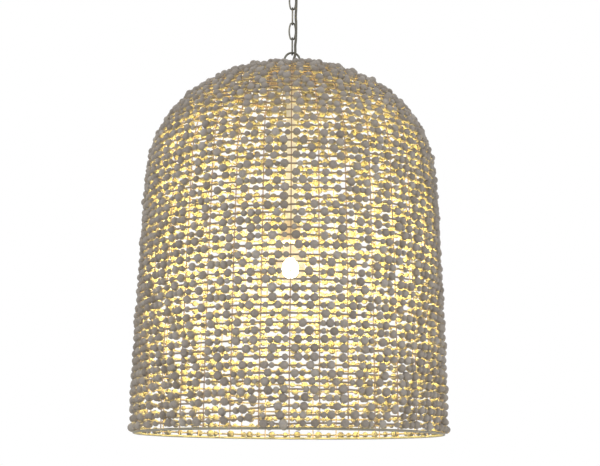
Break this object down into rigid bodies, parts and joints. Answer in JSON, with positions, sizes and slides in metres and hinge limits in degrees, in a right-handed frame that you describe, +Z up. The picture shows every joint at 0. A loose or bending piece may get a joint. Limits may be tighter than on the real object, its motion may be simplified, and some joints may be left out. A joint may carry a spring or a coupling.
{
  "type": "beaded chandelier",
  "caption": "Hanging bell-shaped chandelier: strands of large and small beads wound round a ribbed wire cage, hung by a short chain with a cord from a round ceiling canopy, one bulb inside.",
  "frame": {"origin": "centre of the canopy's rim, in the plane of the ceiling", "axes": "+Z up along the axis of the shade and the chain, into the ceiling; +Y to the back, away from the viewer; +X to the right; everything hangs towards -Z"},
  "size_m": [0.6419, 0.6414, 1.0014],
  "materials": {
    "bronze": "satin dark grey bronze",
    "cage_paint": "matt taupe brown",
    "bead_wood": "matt warm grey stain",
    "cord_cover": "woven grey brown sleeve",
    "pale_paint": "satin cream",
    "pale_insulator": "smooth off-white",
    "brass": "satin",
    "lamp_glass": "frosted, lit from inside"
  },
  "bodies": {
    "ceiling_mount": {"canopy": "bronze", "mounting_strap": "bronze", "strap_screw_1": "brass", "strap_screw_2": "brass", "strap_nut": "brass", "screw_collar": "bronze", "canopy_loop": "bronze", "cord_1": "cord_cover"},
    "link_1": {"chain_link_1": "bronze", "cord_2": "cord_cover"},
    "link_2": {"chain_link_2": "bronze", "cord_3": "cord_cover"},
    "link_3": {"chain_link_3": "bronze", "cord_4": "cord_cover"},
    "link_4": {"chain_link_4": "bronze", "cord_5": "cord_cover"},
    "shade": {"shade_loop": "bronze", "cord_in_stem": "cord_cover", "crown_cap": "bronze", "crown_plate": "cage_paint", "crown_nut": "brass", "stem_coupling": "pale_paint", "socket_stem": "pale_paint", "socket_cap": "pale_paint", "socket_shell": "pale_paint", "socket_liner": "pale_insulator", "socket_screw_shell": "brass", "bulb_cap": "brass", "bulb_glass": "lamp_glass", "wire_cage": "cage_paint", "crown_hoop": "cage_paint", "bead_strand_1": "bead_wood", "bead_strand_2": "bead_wood", "bead_strand_3": "bead_wood", "bead_strand_4": "bead_wood", "bead_strand_5": "bead_wood", "bead_strand_6": "bead_wood"}
  },
  "joints": [
    {"name": "canopy_loop_swing", "type": "hinge", "parent": "ceiling_mount", "child": "link_1", "pos_m": [0, 0, -0.06835], "axis": [0, 1, 0], "range_deg": [-20, 20], "deforming": ["cord_1"]},
    {"name": "link_1_swing", "type": "hinge", "parent": "link_1", "child": "link_2", "pos_m": [0, 0, -0.10155], "axis": [1, 0, 0], "range_deg": [-20, 20], "deforming": ["cord_2"]},
    {"name": "link_2_swing", "type": "hinge", "parent": "link_2", "child": "link_3", "pos_m": [0, 0, -0.13525], "axis": [0, 1, 0], "range_deg": [-20, 20], "deforming": ["cord_3"]},
    {"name": "link_3_swing", "type": "hinge", "parent": "link_3", "child": "link_4", "pos_m": [0, 0, -0.16895], "axis": [1, 0, 0], "range_deg": [-20, 20], "deforming": ["cord_4"]},
    {"name": "shade_swing", "type": "hinge", "parent": "link_4", "child": "shade", "pos_m": [0, 0, -0.20265], "axis": [0, 1, 0], "range_deg": [-20, 20], "deforming": ["cord_5"]}
  ]
}
